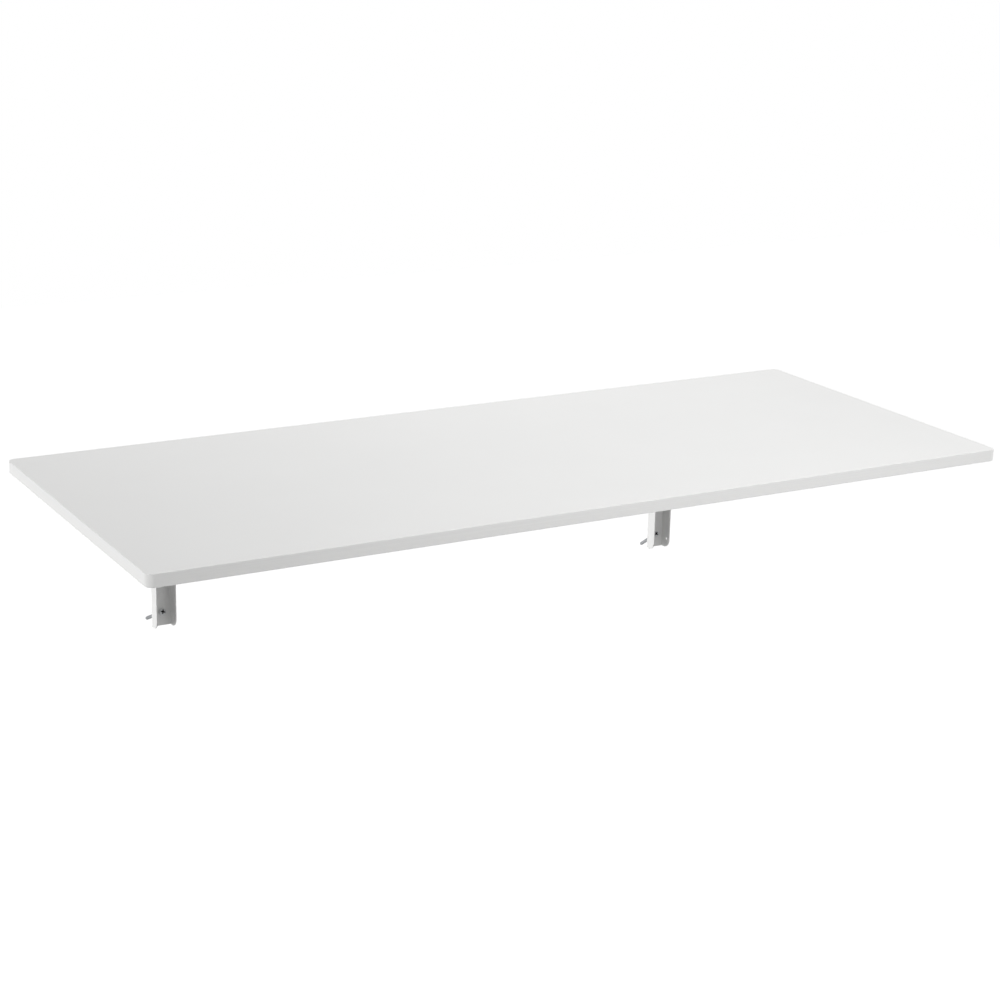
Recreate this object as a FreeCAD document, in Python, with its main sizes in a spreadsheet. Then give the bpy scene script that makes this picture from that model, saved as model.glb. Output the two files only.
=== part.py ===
import FreeCAD, Part
import math
import os
import re

import Sketcher
from FreeCAD import Placement, Rotation, Vector

# Wall mounted drop leaf table: a laminated board on two folding sheet brackets.
# Millimetres, +Z up. X runs along the wall, the wall is the plane Y = 0 and the room is towards -Y.
# The origin lies on the wall, in the middle of the four wall holes. The leaf stands up, ready for use.

SIZES = [
    ("top_length", 1200, "tabletop along the wall"),
    ("top_depth", 500, "tabletop from its back edge to its front edge"),
    ("wall_gap", 6.4, "between the wall and the tabletop's back edge"),
    ("top_thickness", 16, "tabletop with both laminates"),
    ("corner_radius", 10, "tabletop corners seen from above"),
    ("band_thickness", 1, "edge band"),
    ("laminate_thickness", 0.6, "laminate on each face of the board"),
    ("edge_ease", 0.8, "rounding of the edge band's upper and lower edges"),
    ("underside_height", 125, "tabletop underside above the middle of the wall holes"),
    ("bracket_spacing", 792, "from the middle of one bracket to the middle of the other"),
    ("leg_width", 28, "wall leg over its flanges"),
    ("leg_depth", 20.5, "wall leg from the wall to the front of its flanges"),
    ("leg_sheet", 1.5, "sheet of the wall leg"),
    ("leg_drop", 117.5, "wall leg below the middle of the wall holes"),
    ("leg_corner", 13.5, "rounded front corners of the wall leg's flanges"),
    ("bend_inside", 0.6, "inside radius of every bend in the sheet"),
    ("wall_hole_spacing", 100, "between the two free wall holes of a leg"),
    ("wall_hole_radius", 2.75, "free wall holes"),
    ("foot_hole_rise", 18.2, "lowest wall hole above the leg's lower end"),
    ("foot_hole_clearance", 0.25, "room round the tilted screw in the lowest wall hole"),
    ("flange_hole_rise", 14, "small flange hole above the leg's lower end"),
    ("flange_hole_setback", 13.4, "small flange hole from the wall"),
    ("flange_hole_radius", 2, "small flange hole"),
    ("pivot_setback", 12, "corner pin and brace pin from the wall"),
    ("pivot_drop", 36, "corner pin below the tabletop's underside"),
    ("pivot_crown", 14, "wall leg above the corner pin"),
    ("pivot_gap", 1.6, "washer between the leg's flange and the arm's flange"),
    ("pin_radius", 3, "corner pin, brace pin and guide pin"),
    ("pin_fit", 0.05, "radial play of every pin in its holes"),
    ("pin_head_radius", 5.5, "heads of the corner pin and the brace pin"),
    ("pin_head_height", 2.2, "heads of the corner pin"),
    ("pin_head_play", 0.2, "between the corner pin's heads and the arm"),
    ("pin_chamfer", 0.5, "chamfer of the pins' ends and heads"),
    ("flush_head_play", 0.5, "between the brace pin's flat heads and the folded arm"),
    ("washer_radius", 6.5, "washers at the corner pin and the brace pin"),
    ("arm_sheet", 2, "sheet of the arm"),
    ("arm_ear", 9, "arm behind the corner pin"),
    ("arm_overhang", 46, "arm beyond the front end of its guide slot"),
    ("arm_taper", 65, "length over which the arm's flanges rise to their front ends"),
    ("arm_front_depth", 18, "arm's flanges at their front ends"),
    ("arm_corner", 5, "rounded lower front corners of the arm's flanges"),
    ("brace_pivot_drop", 105, "brace pin below the corner pin"),
    ("brace_length", 215, "brace from its pin to the guide pin"),
    ("brace_gap", 1.5, "washer between the brace's flange and the leg's flange"),
    ("brace_sheet", 1.8, "sheet of the brace"),
    ("brace_depth", 16, "brace over its web and flanges"),
    ("brace_flat", 1, "half of the flat left at the brace's rounded ends"),
    ("guide_room", 5, "between the brace's end and the arm's web"),
    ("roller_radius", 4.5, "rollers that run in the guide slot"),
    ("roller_play", 0.2, "end play of a roller"),
    ("slot_clearance", 0.4, "between a roller and the edge of the guide slot"),
    ("slot_wall", 6, "arm's flange below the guide slot"),
    ("keeper_gap", 0.4, "between a keeper washer and the arm"),
    ("keeper_sheet", 1.2, "keeper washers on the guide pin"),
    ("keeper_radius", 6.5, "keeper washers on the guide pin"),
    ("guide_pin_end", 1, "guide pin beyond its keeper washer"),
    ("arm_screw_radius", 2, "screws that hold the arm under the tabletop"),
    ("arm_screw_length", 13, "screws that hold the arm, under the head"),
    ("arm_screw_head_radius", 4, "heads of the arm's screws"),
    ("arm_screw_head_height", 2.4, "heads of the arm's screws"),
    ("arm_screw_recess", 4.6, "cross recess in the heads of the arm's screws"),
    ("back_screw_reach", 30, "first arm screw in front of the corner pin"),
    ("screw_offset", 52, "second arm screw behind the guide slot's back end"),
    ("front_screw_lead", 26, "last arm screw in front of the guide slot's front end"),
    ("wall_screw_radius", 2.5, "wall screws"),
    ("wall_screw_length", 60, "wall screws, under the head"),
    ("wall_screw_head_radius", 5, "heads of the wall screws"),
    ("wall_screw_head_height", 2.6, "heads of the wall screws"),
    ("wall_screw_recess", 6, "cross recess in the heads of the wall screws"),
    ("recess_width", 1.5, "arms of the cross recess"),
    ("recess_depth", 1.5, "depth of the cross recess"),
    ("head_rounding", 1.6, "rounded rims of the screw heads"),
    ("screw_tip", 5, "pointed ends of the screws"),
    ("left_droop", 26, "degrees by which the left wall screw's tail hangs down"),
    ("left_sway", 3.5, "degrees by which the left wall screw's tail points to the left"),
    ("right_droop", 32, "degrees by which the right wall screw's tail hangs down"),
    ("right_sway", -7.5, "degrees by which the right wall screw's tail points to the left"),
    ("lever_sheet", 2, "sheet of the release lever"),
    ("lever_standoff", 2, "between the arm and the release lever"),
    ("lever_lead", 34, "lever rivet in front of the guide pin"),
    ("lever_rise", 2, "lever rivet above the guide pin"),
    ("lever_half", 6.5, "half depth of the lever at its rivet"),
    ("lever_tail", 62, "lever in front of its rivet"),
    ("lever_nose", 4, "lever's nose above the guide pin"),
    ("lever_clearance", 0.3, "between the lever's nose and the guide pin"),
    ("nose_foot", 1, "lower edge of the lever's nose above the guide pin's middle"),
    ("nose_flat", 14, "flat top of the lever's nose in front of the guide pin"),
    ("lever_rounding", 1.5, "rounded corners of the lever"),
    ("tab_width", 14, "finger tab along the lever"),
    ("tab_length", 15, "finger tab outwards from the lever"),
    ("rivet_radius", 2.5, "lever rivet"),
    ("rivet_shoulder", 4.5, "shoulder of the lever rivet, under the lever"),
    ("rivet_head_radius", 5, "head of the lever rivet"),
    ("rivet_head_height", 1.8, "head of the lever rivet"),
    ("rivet_tail_radius", 3.6, "closed end of the lever rivet, inside the arm"),
    ("rivet_tail_height", 0.9, "closed end of the lever rivet, inside the arm"),
    ("rivet_play", 0.1, "end play of the lever and the spring"),
    ("stud_drop", 3.8, "spring stud below the tabletop's underside"),
    ("stud_lead", 24, "spring stud in front of the lever rivet"),
    ("stud_radius", 2.3, "spring stud"),
    ("stud_shank_radius", 1.4, "spring stud's shank in the arm"),
    ("stud_head_radius", 3.2, "head of the spring stud"),
    ("stud_head_height", 1, "head of the spring stud"),
    ("spring_sheet", 0.6, "thickness of the leaf spring"),
    ("spring_width", 1.8, "width of the leaf spring"),
    ("spring_touch", 6, "where the spring meets the lever's nose, in front of the guide pin"),
    ("spring_gap", 0.05, "between the spring and the lever's nose"),
]

# Sizes that follow from the ones above
DERIVED = [
    ("bracket_offset", "bracket_spacing / 2"),
    ("board_top", "underside_height + top_thickness"),
    ("board_front", "-(wall_gap + top_depth)"),
    ("board_middle", "underside_height + top_thickness / 2"),
    ("pivot_height", "underside_height - pivot_drop"),
    ("leg_top", "pivot_height + pivot_crown"),
    ("leg_inner", "leg_width - 2 * leg_sheet"),
    ("arm_inner", "leg_width + 2 * pivot_gap"),
    ("arm_width", "arm_inner + 2 * arm_sheet"),
    ("arm_side", "arm_width / 2"),
    ("brace_height", "pivot_height - brace_pivot_drop"),
    ("brace_width", "leg_inner - 2 * brace_gap"),
    ("foot_hole_height", "foot_hole_rise - leg_drop"),
    ("pin_hole", "pin_radius + pin_fit"),
    ("guide_height", "pivot_drop - arm_sheet - brace_depth / 2 - guide_room"),
    ("guide_open", "sqrt(brace_length ^ 2 - (brace_pivot_drop + guide_height) ^ 2)"),
    ("guide_folded", "brace_pivot_drop + sqrt(brace_length ^ 2 - guide_height ^ 2)"),
    ("arm_reach", "guide_folded + arm_overhang"),
    ("slot_half", "roller_radius + slot_clearance"),
    ("keeper_side", "arm_side + keeper_gap"),
    ("lever_side", "arm_side + lever_standoff"),
    ("lever_outside", "lever_side + lever_sheet"),
    ("lever_station", "guide_open + lever_lead"),
    ("lever_height", "guide_height + lever_rise"),
    ("nose_top", "pin_radius + lever_clearance + lever_nose - lever_rise"),
    ("nose_bottom", "nose_foot - lever_rise"),
    ("stud_station", "lever_station + stud_lead"),
    ("stud_height", "pivot_drop - stud_drop"),
    ("screw_seat", "pivot_drop - arm_sheet"),
    ("pilot_depth", "arm_screw_length - arm_sheet - laminate_thickness + pin_fit"),
]

FOLD = 90.0
SLOT_STEPS = 12
SAME = 1e-4
ALONG_WALL = Vector(1, 0, 0)

doc = FreeCAD.newDocument("drop_leaf_table")
sheet = doc.addObject("Spreadsheet::Sheet", "Sizes")
nodes = []


def add_cell(name, content, note):
    """Add a named cell with a note beside it."""
    add_cell.row += 1
    sheet.set(f"A{add_cell.row}", note)
    sheet.set(f"B{add_cell.row}", content)
    sheet.setAlias(f"B{add_cell.row}", name)


add_cell.row = 0


def size(text):
    """Return the value of a size or of a sum of sizes."""
    return float(sheet.evalExpression(text))


def bind(thing, prop, text):
    """Tie a property to the sheet: plain size names become references to its cells."""
    thing.setExpression(prop, re.sub(r"[a-z]\w*", lambda word: "Sizes." + word.group(0), text))


def brace_lean(share):
    """Angle between brace and arm, with share 0 at the leaf up and 1 at the leaf down."""
    opened = math.asin((size("brace_pivot_drop") + size("guide_height")) / size("brace_length"))
    folded = math.asin(size("guide_height") / size("brace_length"))
    return opened + (folded - opened) * share


def guide_point(share):
    """Guide pin in front of and above the corner pin, as the arm sees it during the fold."""
    fold = math.radians(FOLD * share)
    lean = brace_lean(share)
    ahead = size("brace_pivot_drop") * math.sin(fold) + size("brace_length") * math.cos(lean)
    above = size("brace_length") * math.sin(lean) - size("brace_pivot_drop") * math.cos(fold)
    return Vector(0, -ahead, above)


def screw_tilt(droop, sway):
    """Whole angle between a hanging screw and the wall's normal."""
    return math.acos(math.cos(math.radians(droop)) * math.cos(math.radians(sway)))


def fill_sheet():
    """Write the driving sizes, then what follows from them."""
    for name, value, note in SIZES:
        add_cell(name, str(value), note)
    doc.recompute()
    for name, formula in DERIVED:
        add_cell(name, "=" + formula, "follows from the sizes above")
        doc.recompute()
    lowest = min(guide_point(step / SLOT_STEPS).z for step in range(SLOT_STEPS + 1))
    add_cell("slot_low", str(lowest), "lowest point of the guide slot's middle line")
    doc.recompute()
    add_cell("arm_bottom", "=slot_low - slot_half - slot_wall", "lower edge of the arm's flanges")
    tilt = max(screw_tilt(size(side + "_droop"), size(side + "_sway")) for side in ("left", "right"))
    foot_hole = size("wall_screw_radius") / math.cos(tilt) + size("leg_sheet") * math.tan(tilt) / 2
    add_cell("foot_hole_radius", f"={foot_hole} + foot_hole_clearance", "lowest wall hole")
    doc.recompute()


def new_body(name):
    return doc.addObject("PartDesign::Body", name)


def new_sketch(body, plane_role, offset="0"):
    """Add a sketch on one of the body's own planes, moved along the plane's normal."""
    sketch = body.newObject("Sketcher::SketchObject", body.Name + "_sketch")
    plane = next(item for item in body.Origin.OriginFeatures if item.Role == plane_role)
    sketch.AttachmentSupport = [(plane, "")]
    sketch.MapMode = "FlatFace"
    bind(sketch, "AttachmentOffset.Base.z", offset)
    return sketch


def fix_point(sketch, geometry, vertex, across, up):
    """Hold one point of a sketch at two sizes from the sketch's origin."""
    for kind, text in (("DistanceX", across), ("DistanceY", up)):
        index = sketch.addConstraint(Sketcher.Constraint(kind, -1, 1, geometry, vertex, size(text)))
        name = f"{kind}_{geometry}"
        sketch.renameConstraint(index, name)
        bind(sketch, "Constraints." + name, text)


def draw_outline(sketch, points):
    """Draw a closed outline of straight lines through points given as sizes."""
    first = sketch.GeometryCount
    count = len(points)
    corners = [Vector(size(across), size(up), 0) for across, up in points]
    for index in range(count):
        line = Part.LineSegment(corners[index], corners[(index + 1) % count])
        sketch.addGeometry(line, False)
    for index, (across, up) in enumerate(points):
        following = first + (index + 1) % count
        sketch.addConstraint(Sketcher.Constraint("Coincident", first + index, 2, following, 1))
        fix_point(sketch, first + index, 1, across, up)


def draw_circle(sketch, across, up, radius):
    circle = Part.Circle(Vector(size(across), size(up), 0), Vector(0, 0, 1), size(radius))
    geometry = sketch.addGeometry(circle, False)
    index = sketch.addConstraint(Sketcher.Constraint("Radius", geometry, size(radius)))
    sketch.renameConstraint(index, f"Radius_{geometry}")
    bind(sketch, f"Constraints.Radius_{geometry}", radius)
    fix_point(sketch, geometry, 3, across, up)


def extrude(body, kind, sketch, length):
    """Pad or pocket a sketch by a length, half of it to each side of the sketch."""
    before = body.Shape.Volume if body.Tip else 0.0
    feature = body.newObject("PartDesign::" + kind, f"{body.Name}_{kind.lower()}")
    feature.Profile = sketch
    feature.SideType = "Symmetric"
    bind(feature, "Length", length)
    doc.recompute()
    change = feature.Shape.Volume - before
    if (change > 0) != (kind == "Pad"):
        raise RuntimeError(f"{feature.Label} changes the volume by {change}")


def pad(body, plane_role, outline, length, offset="0"):
    sketch = new_sketch(body, plane_role, offset)
    draw_outline(sketch, outline)
    extrude(body, "Pad", sketch, length)


def cut(body, plane_role, outline, length, offset="0"):
    sketch = new_sketch(body, plane_role, offset)
    draw_outline(sketch, outline)
    extrude(body, "Pocket", sketch, length)


def drill(body, plane_role, circles, length, offset="0"):
    """Cut round holes, each given by its middle and its radius."""
    sketch = new_sketch(body, plane_role, offset)
    for across, up, radius in circles:
        draw_circle(sketch, across, up, radius)
    extrude(body, "Pocket", sketch, length)


def rectangle(left, right, low, high):
    return [(left, low), (right, low), (right, high), (left, high)]


def at(**where):
    """Pick the edges whose ends all have these coordinates."""
    def picks(edge):
        return all(abs(getattr(vertex, axis.upper()) - size(text)) < SAME
                   for vertex in edge.Vertexes for axis, text in where.items())
    return picks


def round_edges(body, pickers, radius):
    """Fillet every edge that one of the pickers chooses."""
    base = body.Tip
    names = [f"Edge{number}" for number, edge in enumerate(base.Shape.Edges, 1)
             if any(picks(edge) for picks in pickers)]
    feature = body.newObject("PartDesign::Fillet", body.Name + "_fillet")
    feature.Base = (base, names)
    bind(feature, "Radius", radius)
    doc.recompute()


def turn(body, outline, plane_role="XY_Plane", axis="H_Axis"):
    """Revolve an outline about an axis of its sketch."""
    sketch = new_sketch(body, plane_role)
    draw_outline(sketch, outline)
    feature = body.newObject("PartDesign::Revolution", body.Name + "_revolution")
    feature.Profile = sketch
    feature.ReferenceAxis = (sketch, [axis])
    feature.Angle = 360
    doc.recompute()


def place(thing, x, y, z, rotation=Rotation()):
    """Put a piece at sizes from the origin, turned about its own origin."""
    thing.Placement = Placement(Vector(size(x), size(y), size(z)), rotation)
    for axis, text in zip("xyz", (x, y, z)):
        bind(thing, "Placement.Base." + axis, text)


def keep(thing, label):
    """Name a finished sub-part."""
    thing.Label = label
    nodes.append(thing)


def group(name, pieces):
    """Gather separate solids of the same kind."""
    gathered = doc.addObject("Part::Compound", name)
    gathered.Links = pieces
    return gathered


def cut_away(name, base, tool):
    result = doc.addObject("Part::Cut", name)
    result.Base = base
    result.Tool = tool
    return result


def guide_sweep(name, half_width, middle, length):
    """Solid round the guide pin's whole path in the arm: the shape of the guide slot."""
    ends = [guide_point(0), guide_point(1)]
    upper = []
    lower = []
    headings = []
    for step in range(SLOT_STEPS + 1):
        share = step / SLOT_STEPS
        heading = (guide_point(share + SAME) - guide_point(share - SAME)).normalize()
        normal = ALONG_WALL.cross(heading)
        upper.append(guide_point(share) + normal * half_width)
        lower.append(guide_point(share) - normal * half_width)
        headings.append(heading)
    curves = []
    for points in (upper, lower):
        curve = Part.BSplineCurve()
        curve.interpolate(points)
        curves.append(curve.toShape())
    curves.append(Part.Arc(upper[0], ends[0] - headings[0] * half_width, lower[0]).toShape())
    curves.append(Part.Arc(upper[-1], ends[1] + headings[-1] * half_width, lower[-1]).toShape())
    face = Part.Face(Part.Wire(Part.__sortEdges__(curves)))
    face.translate(ALONG_WALL * (middle - length / 2))
    sweep = doc.addObject("Part::Feature", name)
    sweep.Shape = face.extrude(ALONG_WALL * length)
    return sweep


def board_outline():
    """Outline of the board inside its edge band, seen from above."""
    side = "top_length / 2 - band_thickness"
    return rectangle("-(" + side + ")", side, "board_front + band_thickness", "-(wall_gap + band_thickness)")


def make_board(label, bottom, thickness):
    """One layer of the tabletop inside the edge band."""
    body = new_body(label)
    outline = board_outline()
    pad(body, "XY_Plane", outline, thickness, f"{bottom} + {thickness} / 2")
    corners = [at(x=x, y=y) for x, y in outline]
    round_edges(body, corners, "corner_radius - band_thickness")
    keep(body, label)
    return body


def make_edge_band():
    """Band round the board, with its upper and lower outside edges eased."""
    body = new_body("edge_band")
    outline = rectangle("-top_length / 2", "top_length / 2", "board_front", "-wall_gap")
    pad(body, "XY_Plane", outline, "top_thickness", "board_middle")
    inside = board_outline()
    cut(body, "XY_Plane", inside, "2 * top_thickness", "board_middle")
    round_edges(body, [at(x=x, y=y) for x, y in inside], "corner_radius - band_thickness")
    round_edges(body, [at(x=x, y=y) for x, y in outline], "corner_radius")
    round_edges(body, [at(y="-wall_gap", z=z) for z in ("underside_height", "board_top")], "edge_ease")
    keep(body, "edge_band")


def screw_stations():
    """Where the screws stand along an arm, in front of the corner pin."""
    return ["back_screw_reach", "guide_open - screw_offset", "(guide_open + guide_folded) / 2",
            "guide_folded + front_screw_lead"]


def make_tabletop():
    """Board of three layers in an edge band, with blind holes for the arms' screws."""
    top = "board_top - laminate_thickness"
    core_bottom = "underside_height + laminate_thickness"
    core = make_board("tabletop_core", core_bottom, "(top_thickness - 2 * laminate_thickness)")
    make_board("top_laminate", top, "laminate_thickness")
    under = make_board("underside_laminate", "underside_height", "laminate_thickness")
    make_edge_band()
    holes = [(sign + "bracket_offset", f"-(pivot_setback + {station})", "arm_screw_radius + pin_fit")
             for sign in ("-", "") for station in screw_stations()]
    drill(core, "XY_Plane", holes, "2 * pilot_depth", core_bottom)
    drill(under, "XY_Plane", holes, "4 * laminate_thickness", "underside_height")


def make_wall_leg(label, x):
    """Channel with its web on the wall and its flanges towards the room."""
    body = new_body(label)
    pad(body, "YZ_Plane", rectangle("-leg_depth", "0", "-leg_drop", "leg_top"), "leg_width")
    round_edges(body, [at(y="-leg_depth", z=z) for z in ("-leg_drop", "leg_top")], "leg_corner")
    inside = rectangle("-2 * leg_depth", "-leg_sheet", "-leg_drop - leg_depth", "leg_top + leg_depth")
    cut(body, "YZ_Plane", inside, "leg_inner")
    outer_bends = [at(x=x_side, y="0") for x_side in ("-leg_width / 2", "leg_width / 2")]
    round_edges(body, outer_bends, "leg_sheet + bend_inside")
    inner_bends = [at(x=x_side, y="-leg_sheet") for x_side in ("-leg_inner / 2", "leg_inner / 2")]
    round_edges(body, inner_bends, "bend_inside")
    pins = [("-pivot_setback", "pivot_height", "pin_hole"), ("-pivot_setback", "brace_height", "pin_hole")]
    drill(body, "YZ_Plane", pins, "2 * leg_width")
    small = [("-flange_hole_setback", "flange_hole_rise - leg_drop", "flange_hole_radius")]
    drill(body, "YZ_Plane", small, "leg_width / 2", "leg_width / 2")
    wall_holes = [("0", "wall_hole_spacing / 2", "wall_hole_radius"),
                  ("0", "-wall_hole_spacing / 2", "wall_hole_radius"),
                  ("0", "foot_hole_height", "foot_hole_radius")]
    drill(body, "XZ_Plane", wall_holes, "4 * leg_sheet")
    place(body, x, "0", "0")
    keep(body, label)


def make_arm(label, x):
    """Channel under the tabletop, with the guide slot through both flanges."""
    body = new_body(label + "_blank")
    outline = [("arm_ear", "arm_bottom"), ("arm_ear", "pivot_drop"), ("-arm_reach", "pivot_drop"),
               ("-arm_reach", "pivot_drop - arm_front_depth"), ("arm_taper - arm_reach", "arm_bottom")]
    pad(body, "YZ_Plane", outline, "arm_width")
    round_edges(body, [at(y="arm_ear", z="arm_bottom")], "arm_ear")
    round_edges(body, [at(y=outline[3][0], z=outline[3][1])], "arm_corner")
    inside = rectangle("-2 * arm_reach", "2 * arm_ear", "arm_bottom - arm_ear", "screw_seat")
    cut(body, "YZ_Plane", inside, "arm_inner")
    outer_bends = [at(x=side, z="pivot_drop") for side in ("-arm_side", "arm_side")]
    round_edges(body, outer_bends, "arm_sheet + bend_inside")
    inner_bends = [at(x=side, z="screw_seat") for side in ("-arm_inner / 2", "arm_inner / 2")]
    round_edges(body, inner_bends, "bend_inside")
    drill(body, "YZ_Plane", [("0", "0", "pin_hole")], "2 * arm_width")
    rivets = [("-lever_station", "lever_height", "rivet_radius + pin_fit"),
              ("-stud_station", "stud_height", "stud_shank_radius + pin_fit")]
    drill(body, "YZ_Plane", rivets, "4 * arm_sheet", "-arm_side")
    screws = [("0", "-(" + station + ")", "arm_screw_radius + pin_fit") for station in screw_stations()]
    drill(body, "XY_Plane", screws, "4 * arm_sheet", "pivot_drop")
    slot = guide_sweep(label + "_slot", size("slot_half"), 0.0, 2 * size("arm_width"))
    arm = cut_away(label, body, slot)
    place(arm, x, "-pivot_setback", "pivot_height")
    keep(arm, label)


def make_brace(label, x):
    """Channel between the leg and the arm, open on its lower side."""
    body = new_body(label)
    half = "brace_depth / 2"
    outline = rectangle("-(brace_length + " + half + ")", half, "-" + half, half)
    pad(body, "YZ_Plane", outline, "brace_width")
    round_edges(body, [at(y=y, z=z) for y, z in outline], half + " - brace_flat")
    inside = rectangle("-2 * brace_length", "brace_length", "-brace_depth", half + " - brace_sheet")
    cut(body, "YZ_Plane", inside, "brace_width - 2 * brace_sheet")
    outer_bends = [at(x=side, z=half) for side in ("-brace_width / 2", "brace_width / 2")]
    round_edges(body, outer_bends, "brace_sheet - bend_inside")
    ends = [("0", "0", "pin_hole"), ("-brace_length", "0", "pin_hole")]
    drill(body, "YZ_Plane", ends, "2 * brace_width")
    place(body, x, "-pivot_setback", "brace_height", Rotation(ALONG_WALL, -math.degrees(brace_lean(0))))
    keep(body, label)


def make_headed_pin(label, x, z, grip, head_height):
    """Pin along X with a chamfered head at each end; grip is half the length between the heads."""
    end = f"{grip} + {head_height}"
    half = [(end, "0"), (end, "pin_head_radius - pin_chamfer"),
            (end + " - pin_chamfer", "pin_head_radius"), (grip, "pin_head_radius"), (grip, "pin_radius")]
    other = [("-(" + across + ")", radius) for across, radius in reversed(half)]
    body = new_body(label)
    turn(body, half + other)
    place(body, x, "-pivot_setback", z)
    keep(body, label)


def make_ring_pair(label, x, y, z, inner_side, outer_side, radius):
    """Two like rings on a pin, one on each side of the bracket's middle plane."""
    rings = []
    for sign in ("-", ""):
        body = new_body(f"{label}_ring")
        turn(body, rectangle(f"{sign}({inner_side})", f"{sign}({outer_side})", "pin_hole", radius))
        rings.append(body)
    pair = group(label, rings)
    place(pair, x, y, z)
    keep(pair, label)


def make_guide(side, x):
    """Pin at the brace's upper end, with the rollers in the slot and the keepers outside the arm."""
    y = "-(pivot_setback + guide_open)"
    z = "pivot_height + guide_height"
    left_end = "-(lever_outside + guide_pin_end)"
    right_end = "keeper_side + keeper_sheet + guide_pin_end"
    pin = new_body(side + "_guide_pin")
    turn(pin, [(left_end, "0"), (left_end, "pin_radius - pin_chamfer"),
               (left_end + " + pin_chamfer", "pin_radius"), (right_end + " - pin_chamfer", "pin_radius"),
               (right_end, "pin_radius - pin_chamfer"), (right_end, "0")])
    place(pin, x, y, z)
    keep(pin, side + "_guide_pin")
    make_ring_pair(side + "_guide_rollers", x, y, z, "brace_width / 2 + roller_play",
                   "keeper_side - roller_play", "roller_radius")
    make_ring_pair(side + "_guide_keepers", x, y, z, "keeper_side", "keeper_side + keeper_sheet",
                   "keeper_radius")


def make_screw(name, kind):
    """Pan head screw along +Y with its seat at the origin and a cross recess in its head."""
    body = new_body(name)
    top = f"-{kind}_head_height"
    rim = f"{kind}_head_radius"
    turn(body, [("0", top), (rim, top), (rim, "0"), (f"{kind}_radius", "0"),
                (f"{kind}_radius", f"{kind}_length - screw_tip"), ("0", f"{kind}_length")], axis="V_Axis")
    round_edges(body, [at(y=top)], "head_rounding")
    arm = f"{kind}_recess / 2"
    half = "recess_width / 2"
    cross = [(half, half), (half, arm), ("-" + half, arm), ("-" + half, half), ("-" + arm, half),
             ("-" + arm, "-" + half), ("-" + half, "-" + half), ("-" + half, "-" + arm), (half, "-" + arm),
             (half, "-" + half), (arm, "-" + half), (arm, half)]
    cut(body, "XZ_Plane", cross, "2 * recess_depth", f"{kind}_head_height")
    return body


def make_arm_screws(label, x):
    """Screws up through the arm's web into the board."""
    screws = []
    for station in screw_stations():
        screw = make_screw(label + "_screw", "arm_screw")
        place(screw, "0", f"-({station})", "screw_seat", Rotation(ALONG_WALL, 90))
        screws.append(screw)
    row = group(label, screws)
    place(row, x, "-pivot_setback", "pivot_height")
    keep(row, label)


def make_wall_screw(label, x, droop, sway):
    """Screw hanging loose in the lowest wall hole: its head leans on the web, its tail droops."""
    screw = make_screw(label, "wall_screw")
    turned = Rotation(Vector(0, 0, 1), size(sway)) * Rotation(ALONG_WALL, -size(droop))
    axis = turned.multVec(Vector(0, 1, 0))
    lean = math.sqrt(1 - axis.y ** 2) * size("wall_screw_head_radius")
    back = lean + size("leg_sheet") / 2
    seat = Vector(size(x), -size("leg_sheet") / 2, size("foot_hole_height")) - axis * (back / axis.y)
    screw.Placement = Placement(seat, turned)
    keep(screw, label)


def make_lever(label, x):
    """Flat lever outside the arm: a nose over the guide pin and a finger tab bent outwards."""
    body = new_body(label + "_blank")
    nose_back = "lever_lead + pin_radius"
    nose_front = "lever_lead - nose_flat"
    outline = [(nose_back, "nose_top"), (nose_front, "nose_top"), ("lever_half", "lever_half"),
               ("-lever_tail", "0"), ("-lever_tail", "-lever_half"), ("lever_half", "-lever_half"),
               (nose_front, "nose_bottom"), (nose_back, "nose_bottom")]
    pad(body, "YZ_Plane", outline, "lever_sheet", "-(lever_side + lever_sheet / 2)")
    round_edges(body, [at(y=y, z=z) for y, z in (outline[0], outline[3])], "lever_rounding")
    tab = rectangle("-lever_tail", "tab_width - lever_tail", "-lever_half", "lever_sheet - lever_half")
    reach = "(tab_length + lever_sheet)"
    pad(body, "YZ_Plane", tab, reach, f"-(lever_side + {reach} / 2)")
    tab_end = f"-(lever_side + {reach})"
    tab_corners = [at(x=tab_end, y=y) for y in ("-lever_tail", "tab_width - lever_tail")]
    round_edges(body, tab_corners, "2 * lever_rounding")
    drill(body, "YZ_Plane", [("0", "0", "rivet_radius + pin_fit")], "4 * lever_sheet", "-lever_side")
    path = guide_sweep(label + "_path", size("pin_radius + lever_clearance"), -size("lever_outside"),
                       4 * size("lever_sheet"))
    place(path, "0", "lever_station", "-lever_height")
    lever = cut_away(label, body, path)
    place(lever, x, "-(pivot_setback + lever_station)", "pivot_height + lever_height")
    keep(lever, label)


def make_lever_rivet(label, x):
    """Shouldered rivet: closed inside the arm, with the lever between its shoulder and its head."""
    inside = "-arm_inner / 2"
    tail = inside + " + rivet_tail_height"
    under = "-(lever_side - rivet_play)"
    over = "-(lever_outside + rivet_play)"
    end = "-(lever_outside + rivet_play + rivet_head_height)"
    body = new_body(label)
    turn(body, [(tail, "0"), (tail, "rivet_tail_radius"), (inside, "rivet_tail_radius"),
                (inside, "rivet_radius"), ("-arm_side", "rivet_radius"), ("-arm_side", "rivet_shoulder"),
                (under, "rivet_shoulder"), (under, "rivet_radius"), (over, "rivet_radius"),
                (over, "rivet_head_radius"), (end + " + pin_chamfer", "rivet_head_radius"),
                (end, "rivet_head_radius - pin_chamfer"), (end, "0")])
    place(body, x, "-(pivot_setback + lever_station)", "pivot_height + lever_height")
    keep(body, label)


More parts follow.
